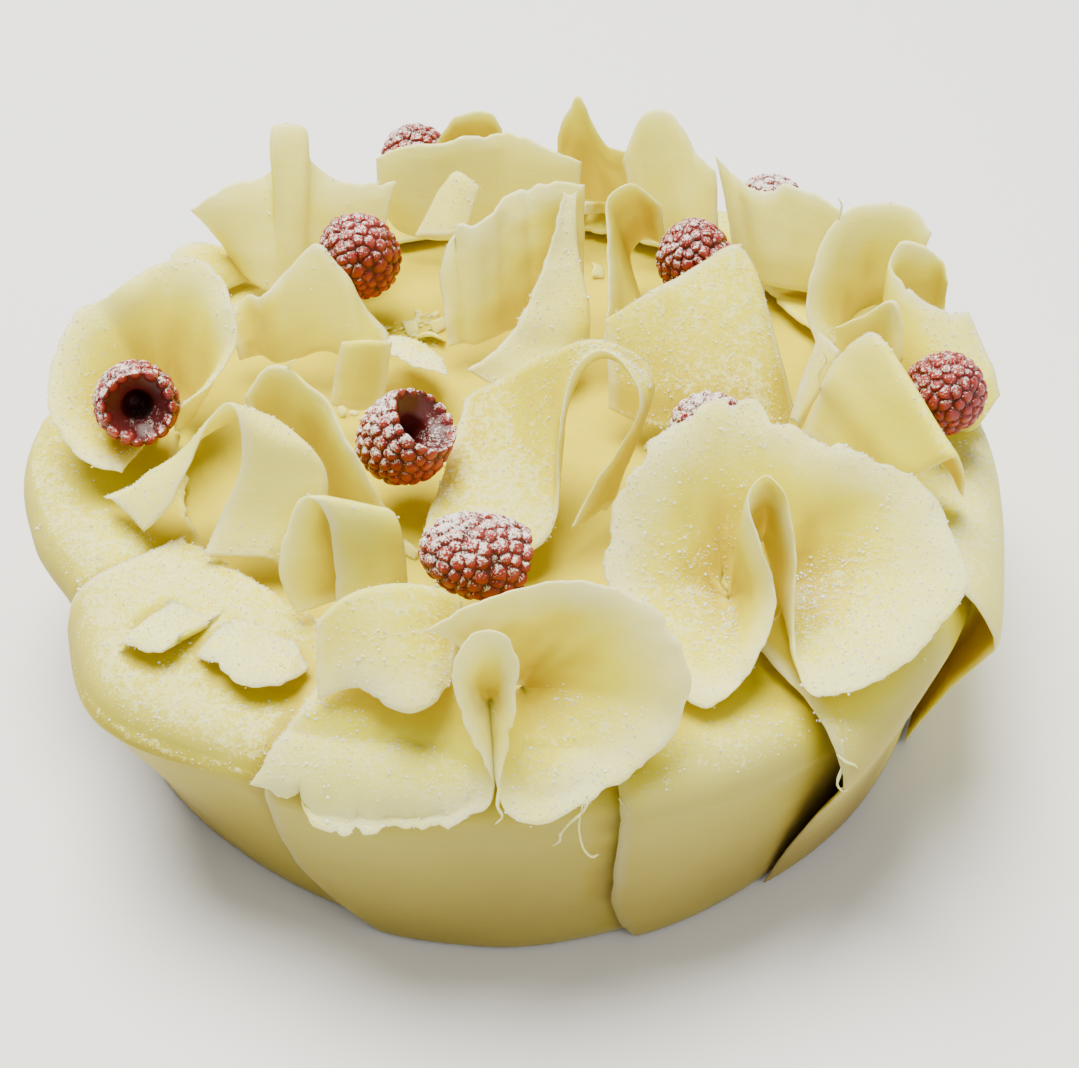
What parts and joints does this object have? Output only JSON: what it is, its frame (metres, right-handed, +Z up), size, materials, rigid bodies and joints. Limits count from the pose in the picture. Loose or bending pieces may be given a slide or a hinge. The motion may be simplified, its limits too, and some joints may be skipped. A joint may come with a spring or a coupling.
{
  "type": "champagne cake",
  "caption": "Round cake wrapped in curling sheets of white chocolate, topped with folded chocolate ruffles and red berries dusted with icing sugar.",
  "frame": {"origin": "centre of the flat bottom of the cake, on the surface it rests on", "axes": "+Z up, -Y towards the front that the picture shows, +X to the right of it"},
  "size_m": [0.2228, 0.2207, 0.0971],
  "materials": {
    "cake": "matt cream",
    "chocolate": "satin white chocolate dusted with icing sugar",
    "berry": "soft red berry skin dusted with icing sugar"
  },
  "bodies": {
    "root": {"cake_core": "cake", "wrap_left": "chocolate", "wrap_front_left": "chocolate", "wrap_front": "chocolate", "wrap_front_right": "chocolate", "wrap_flare": "chocolate", "wrap_right": "chocolate", "wrap_right_back": "chocolate", "wrap_back_right": "chocolate", "wrap_back": "chocolate", "wrap_back_left": "chocolate", "front_fan": "chocolate", "right_rose": "chocolate", "centre_loop": "chocolate", "front_leaf": "chocolate", "left_loop": "chocolate", "left_fold": "chocolate", "left_wall": "chocolate", "left_cup": "chocolate", "back_left_tab": "chocolate", "back_left_roof": "chocolate", "back_band": "chocolate", "back_tongue": "chocolate", "centre_slope": "chocolate", "centre_blade": "chocolate", "centre_flap": "chocolate", "centre_apron": "chocolate", "centre_edge": "chocolate", "right_slope": "chocolate", "back_spike": "chocolate", "back_peak": "chocolate", "right_back_wall": "chocolate", "right_cup": "chocolate", "right_curl": "chocolate", "right_strip": "chocolate", "right_fold": "chocolate", "right_band": "chocolate", "centre_scrap": "chocolate", "left_flake": "chocolate", "left_tongue": "chocolate", "rear_leaf_right": "chocolate", "rear_leaf_back_right": "chocolate", "rear_leaf_back": "chocolate", "rear_leaf_back_left": "chocolate", "rear_leaf_left": "chocolate", "berry_left": "berry", "berry_upper_left": "berry", "berry_back": "berry", "berry_centre_back": "berry", "berry_right_back": "berry", "berry_centre": "berry", "berry_front": "berry", "berry_behind_rose": "berry", "berry_right": "berry"}
  },
  "joints": []
}
